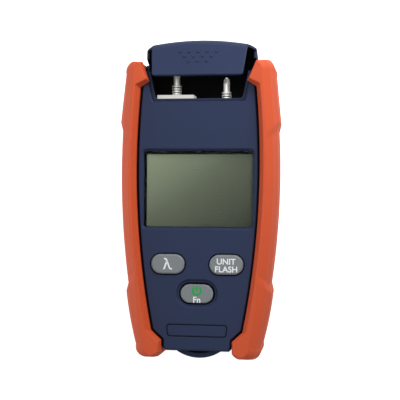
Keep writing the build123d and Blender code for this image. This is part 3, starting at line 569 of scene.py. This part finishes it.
def gasket_and_painted_shadow(material):
    """Thin black surround on the display, a gasket and painted shadow of the window's recess wall,
    widest along its top and left sides.
    """
    low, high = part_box("lcd_module")
    half_x = (high[0] - low[0]) / 2
    half_y = (high[1] - low[1]) / 2
    middle = Vector((halfway(low, high, 0), halfway(low, high, 1), high[2] + GASKET_SHADOW_LIFT * MM))
    shape = bmesh.new()
    outer = []
    inner = []
    for side_x, side_y in ((-1, -1), (1, -1), (1, 1), (-1, 1)):
        outer.append(shape.verts.new(middle + Vector((side_x * half_x, side_y * half_y, 0))))
        margin_x = GASKET_SHADOW_LEFT if side_x < 0 else GASKET_SHADOW_RIGHT
        margin_y = GASKET_SHADOW_LOW if side_y < 0 else GASKET_SHADOW_TOP
        reach = Vector((half_x - margin_x * MM, half_y - margin_y * MM, 0))
        inner.append(shape.verts.new(middle + Vector((side_x * reach.x, side_y * reach.y, 0))))
    for i in range(4):
        j = (i + 1) % 4
        shape.faces.new((outer[i], outer[j], inner[j], inner[i]))
    lifted = bmesh.ops.extrude_face_region(shape, geom=shape.faces[:])
    new_verts = [item for item in lifted["geom"] if isinstance(item, bmesh.types.BMVert)]
    bmesh.ops.translate(shape, verts=new_verts, vec=(0, 0, GASKET_SHADOW_WALL * MM))
    bmesh.ops.recalc_face_normals(shape, faces=shape.faces)
    new_object("gasket_and_painted_shadow", shape, material, "housing")


def ringed_nut(node, material, dark):
    """Plated nut with deep turned rings, in the space of the plain one, its valleys in a darker
    metal as painted shade.
    """
    low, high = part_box(node)
    centre = Vector((halfway(low, high, 0), 0, halfway(low, high, 2)))
    outer = (high[0] - low[0]) / 2
    inner = outer - NUT_VALLEY * MM
    bore = inner - NUT_WALL * MM
    pitch = (high[1] - low[1]) / NUT_RINGS
    profile = [(bore, low[1]), (inner, low[1])]
    for i in range(NUT_RINGS):
        start = low[1] + i * pitch
        profile += [(outer - depth * MM, start + share * pitch) for share, depth in NUT_RING]
    profile.append((bore, high[1]))
    shape = bmesh.new()
    points = [shape.verts.new(centre + Vector((radius, y, 0))) for radius, y in profile]
    loop = [shape.edges.new(pair) for pair in zip(points, points[1:])]
    bmesh.ops.spin(shape, geom=points + loop, cent=centre, axis=(0, 1, 0), angle=2 * math.pi,
                   steps=NUT_STEPS, use_merge=True)
    weld(shape)
    bmesh.ops.recalc_face_normals(shape, faces=shape.faces)
    # Painted shade: the faces in and near the valleys get the darker metal
    for face in shape.faces:
        middle = face.calc_center_median() - centre
        if math.hypot(middle.x, middle.z) < inner + NUT_SHADE_REACH * MM:
            face.material_index = 1
    thing = new_object(node + "_finish", shape, material, "housing")
    thing.data.materials.append(dark)
    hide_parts(node)


def low_flange(material):
    """White flange as tall as the photograph shows, with its holes where they are."""
    low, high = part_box("adapter_flange")
    middle_z = halfway(low, high, 2)
    half = FLANGE_HALF_HEIGHT * MM
    shape = welded("adapter_flange")
    for vert in shape.verts:
        if abs(vert.co.z - middle_z) > half:
            vert.co.z = middle_z + math.copysign(half, vert.co.z - middle_z)
            if vert.co.x > high[0] - FLANGE_END * MM:
                vert.co.x = high[0]
                vert.co.y = high[1] if vert.co.y > low[1] + FLANGE_BACK * MM else low[1]
    weld(shape)
    for face in shape.faces:
        face.material_index = 0
        face.smooth = False
    thing = new_object("adapter_flange_finish", shape, material, "housing")
    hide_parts("adapter_flange")


def ferrule(material):
    """White ceramic ferrule in the mouth of the second port."""
    low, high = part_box("second_port_tip")
    mouth = Vector((halfway(low, high, 0), high[1], halfway(low, high, 2)))
    shape = bmesh.new()
    turn = Matrix.Rotation(math.radians(-90), 4, "X")
    sunk = FERRULE_LENGTH / 2 - FERRULE_OUT
    place = Matrix.Translation(mouth - Vector((0, sunk * MM, 0)))
    bmesh.ops.create_cone(shape, cap_ends=True, segments=FERRULE_SIDES, radius1=FERRULE_R * MM,
                          radius2=FERRULE_R * MM, depth=FERRULE_LENGTH * MM, matrix=place @ turn)
    rim = [edge for edge in shape.edges if len(edge.link_faces) == 2
           and max(len(face.verts) for face in edge.link_faces) > 4]
    bmesh.ops.bevel(shape, geom=rim, offset=FERRULE_EDGE * MM, segments=FERRULE_EDGE_STEPS,
                    affect="EDGES", profile=0.5, material=-1)
    smooth(shape)
    new_object("port_ferrule", shape, material, "housing")


def screw_recess_shade(material):
    """Black crosses on the heads of the four back screws: painted shade standing for their cross
    recesses.
    """
    floor_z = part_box("housing_screws")[0][2]
    cross = []
    quarter = [(CROSS_HALF, CROSS_R), (CROSS_HALF, CROSS_HALF), (CROSS_R, CROSS_HALF)]
    for _ in range(4):
        cross += quarter
        quarter = [(y, -x) for x, y in quarter]
    heads = []
    for vert in frame["nodes"]["housing_screws"].data.vertices:
        if vert.co.z < floor_z + SCREW_FLAT * MM:
            corner = vert.co.xy
            near = [head for head in heads if (corner - head[0]).length < SCREW_REACH * MM]
            if near:
                near[0].append(corner)
            else:
                heads.append([corner])
    shape = bmesh.new()
    for head in heads:
        xs = [corner.x for corner in head]
        ys = [corner.y for corner in head]
        middle = Vector(((min(xs) + max(xs)) / 2, (min(ys) + max(ys)) / 2,
                         floor_z - CROSS_DROP * MM))
        outline = [shape.verts.new(middle + Vector((x, y, 0)) * MM) for x, y in cross]
        face = shape.faces.new(outline)
        face.normal_update()
        if face.normal.z > 0:
            face.normal_flip()
    new_object("screw_recess_shade", shape, material, "housing")


def lid_bumps(material):
    """Three rows of low round dots that give the thumb a hold on the lid."""
    shape = bmesh.new()
    flatten = Matrix.Diagonal((BUMP_R * MM, BUMP_R * MM, BUMP_RISE * MM, 1))
    for row, count in enumerate(BUMP_ROWS):
        y = BUMP_TOP_Y - row * BUMP_PITCH_Y
        for i in range(count):
            x = BUMP_MID_X + (i - (count - 1) / 2) * BUMP_PITCH_X
            place = Matrix.Translation(Vector((x, y, FRONT_Z)) * MM)
            bmesh.ops.create_uvsphere(shape, u_segments=BUMP_AROUND, v_segments=BUMP_UP,
                                      radius=1.0, matrix=place @ flatten)
    smooth(shape)
    raised(shape)
    new_object("lid_bumps", shape, material, "lid")


def legend(name, text, height, place, material, body):
    """A word on a key, centred on a place."""
    data = bpy.data.curves.new(name, "FONT")
    data.body = text
    data.align_x = "CENTER"
    data.align_y = "CENTER"
    data.size = height / CAPITAL_SHARE * MM
    data.offset = INK_WEIGHT * MM
    source = bpy.data.objects.new(name + "_source", data)
    show(source)
    bpy.context.view_layer.update()
    shape = bmesh.new()
    shape.from_mesh(source.to_mesh())
    source.to_mesh_clear()
    bpy.data.objects.remove(source)
    xs = [vert.co.x for vert in shape.verts]
    ys = [vert.co.y for vert in shape.verts]
    middle = Vector(((min(xs) + max(xs)) / 2, (min(ys) + max(ys)) / 2, 0))
    x, y, z = place
    shift = Vector((x, y, z + INK_RISE)) * MM - middle
    bmesh.ops.translate(shape, verts=shape.verts, vec=shift)
    new_object(name, shape, material, body)


def power_symbol(material):
    """A ring open at the top with a short bar through the gap."""
    shape = bmesh.new()
    centre_y = KEY_POWER_Y + POWER_Y
    z = (KEY_POWER_TOP + INK_RISE) * MM
    half = POWER_STROKE / 2
    rings = []
    for i in range(POWER_STEPS + 1):
        angle = math.pi / 2 + POWER_GAP + (2 * math.pi - 2 * POWER_GAP) * i / POWER_STEPS
        pair = []
        for radius in (POWER_R - half, POWER_R + half):
            x = radius * math.cos(angle)
            y = centre_y + radius * math.sin(angle)
            pair.append(shape.verts.new((x * MM, y * MM, z)))
        rings.append(pair)
    for (a, b), (c, d) in zip(rings, rings[1:]):
        shape.faces.new((a, b, d, c))
    low = centre_y + POWER_BAR_LOW
    high = centre_y + POWER_R + half
    corners = [(-half, low), (half, low), (half, high), (-half, high)]
    shape.faces.new([shape.verts.new((x * MM, y * MM, z)) for x, y in corners])
    new_object("power_symbol", shape, material, "power_key")


GRAIN = grain_group()

# The crevice reach on these materials is painted shade in their gaps and grooves
navy = moulded("navy_shell", NAVY, roughness=0.5, grain_scale=3200, grain_depth=0.05,
               specular=0.12, edge=0.45, crevice=1.7)
orange = moulded("orange_grip", ORANGE, roughness=0.6, grain_scale=2200, grain_depth=0.04,
                 drift=0.03, specular=0.4, edge=0.8, crevice=1.0)
grey = moulded("grey_key", KEY_GREY, roughness=0.45, grain_scale=3000, grain_depth=0.02,
               drift=0.03, crevice=1.0)
# Black plastic of the port bay and the display frame; the same black is painted shade inside the
# lid, in the keys' gaps, round the display and on the screw heads
black = moulded("black_plastic", BLACK, roughness=0.7, grain_scale=2500, grain_depth=0.03,
                specular=0.1)
# The white plastic's glow is painted light, which keeps the flange and the ferrule bright in the
# port bay's shade
white = moulded("white_plastic", WHITE, roughness=0.4, grain_scale=2500, grain_depth=0.01,
                drift=0.02, glow=0.4)
chrome = metal("chrome_plate", CHROME, roughness=0.32, metallic=0.5)
# Darker metal for the valleys of the nuts' rings: painted shade
groove_shade_metal = metal("turned_groove_shade", GROOVE_SHADE, roughness=0.4)
steel = metal("zinc_plate", ZINC, roughness=0.3)
board_green = moulded("board_green", BOARD_GREEN, roughness=0.4, grain_scale=1800,
                      grain_depth=0.02)
cell_sleeve = moulded("cell_sleeve", CELL_SLEEVE, roughness=0.3, grain_scale=1500,
                      grain_depth=0.01)
window = clear_window()
lcd = display()
ink_white = moulded("ink_white", INK_WHITE, roughness=0.5, grain_scale=4000, grain_depth=0.005,
                    drift=0.01)
ink_green = moulded("ink_green", INK_GREEN, roughness=0.5, grain_scale=4000, grain_depth=0.005,
                    drift=0.02)

KEYS = ("key_wavelength", "key_unit", "key_power")
FINISHES = {
    navy: ("front_cover", "rear_cover", "port_lid", "battery_door"),
    orange: ("grip_left", "grip_right"),
    grey: KEYS,
    black: ("port_panel", "lcd_frame"),
    white: ("adapter_flange",),
    chrome: ("adapter_nut", "port_sleeve", "second_port_nut", "second_port_tip"),
    steel: ("lid_pin_left", "lid_pin_right", "housing_screws", "board_screws", "flange_screws",
            "detector", "key_domes", "battery_contacts"),
    board_green: ("main_board",),
    cell_sleeve: ("battery_cells",),
    window: ("screen_window",),
    lcd: ("lcd_module",),
}
for finish, members in FINISHES.items():
    for node in members:
        dress(node, finish)

# The black on the lid's inner faces and on the keys' walls in their gaps is painted shade
softened("port_lid", LID_EDGE, LID_EDGE_STEPS, navy, black)
for node in KEYS:
    softened(node, KEY_EDGE, KEY_EDGE_STEPS, grey, black,
             well=FRONT_Z - KEY_WALL_SEEN)
gasket_and_painted_shadow(black)
low_flange(white)
ferrule(white)
for node in ("adapter_nut", "second_port_nut"):
    ringed_nut(node, chrome, groove_shade_metal)
screw_recess_shade(black)
lid_bumps(navy)
for name, text, height, place, body in LEGENDS:
    legend(name, text, height, place, ink_white, body)
power_symbol(ink_green)

add_camera()
add_world()
add_floor()
for lamp in LAMPS:
    add_lamp(*lamp)
bpy.context.scene.view_settings.view_transform = "Standard"
